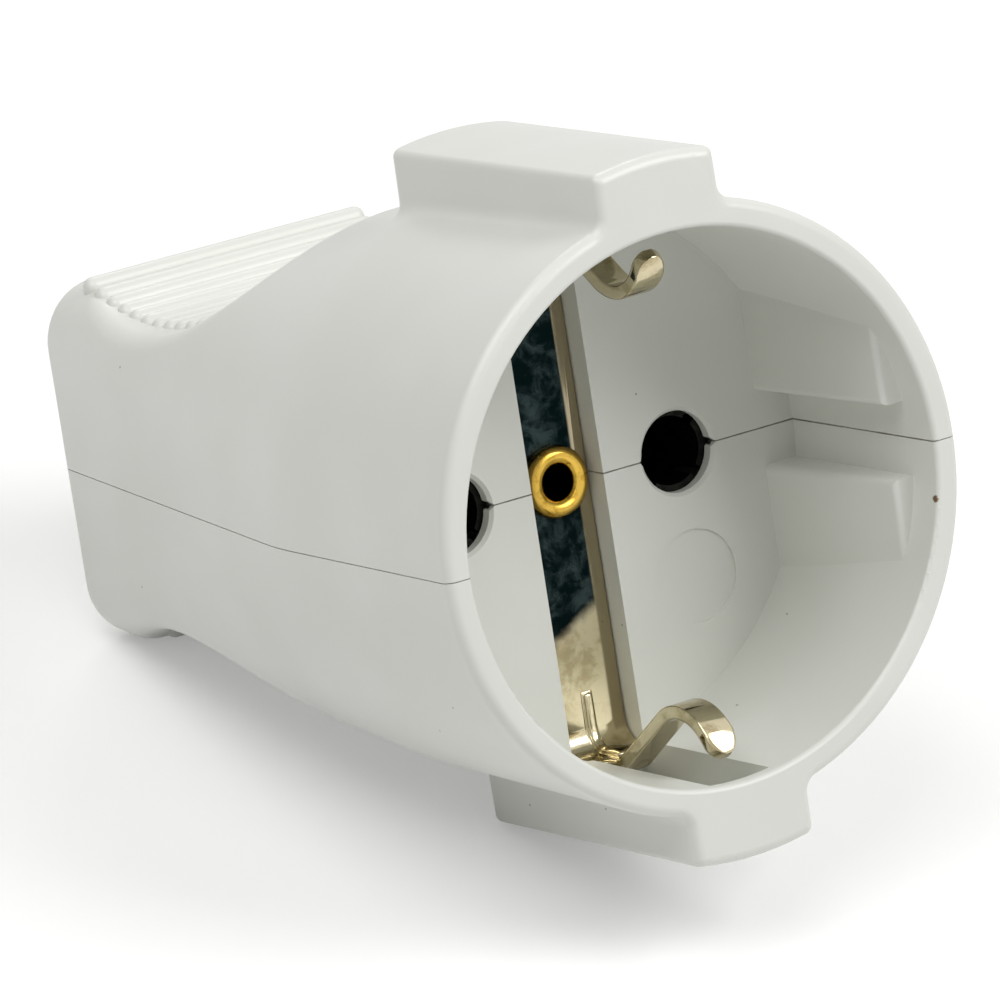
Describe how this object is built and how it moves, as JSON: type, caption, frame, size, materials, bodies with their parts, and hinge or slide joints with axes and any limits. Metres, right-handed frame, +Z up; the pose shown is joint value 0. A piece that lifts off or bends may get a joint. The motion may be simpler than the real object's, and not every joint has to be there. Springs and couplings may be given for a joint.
{
  "type": "schuko connector",
  "caption": "White inline mains socket for a cable end: round plug well with pin holes and sprung earth clips, moulded halves that taper to a cable inlet, ridged thumb scoops.",
  "frame": {"origin": "on the table, under the middle of the connector's bounding box as it lies at rest", "axes": "+Z up; the socket axis lies in the YZ plane, mouth towards -Y and tilted up, cable end towards +Y; +X to the right when looking into the socket"},
  "size_m": [0.043, 0.072, 0.0554],
  "materials": {
    "white_plastic": "semi-gloss moulded",
    "plated_strap": "nickel plated, tarnished",
    "brass": "bright",
    "steel": "zinc plated"
  },
  "bodies": {
    "root": {"upper_shell": "white_plastic", "lower_shell": "white_plastic", "earth_strap": "plated_strap", "earth_rivet": "brass", "earth_terminal": "brass", "earth_terminal_screw": "steel", "left_contact": "brass", "right_contact": "brass", "left_contact_spring": "steel", "right_contact_spring": "steel", "left_terminal_screw": "steel", "right_terminal_screw": "steel", "cable_clamp": "white_plastic", "clamp_screws": "steel", "shell_screw": "steel"}
  },
  "joints": []
}
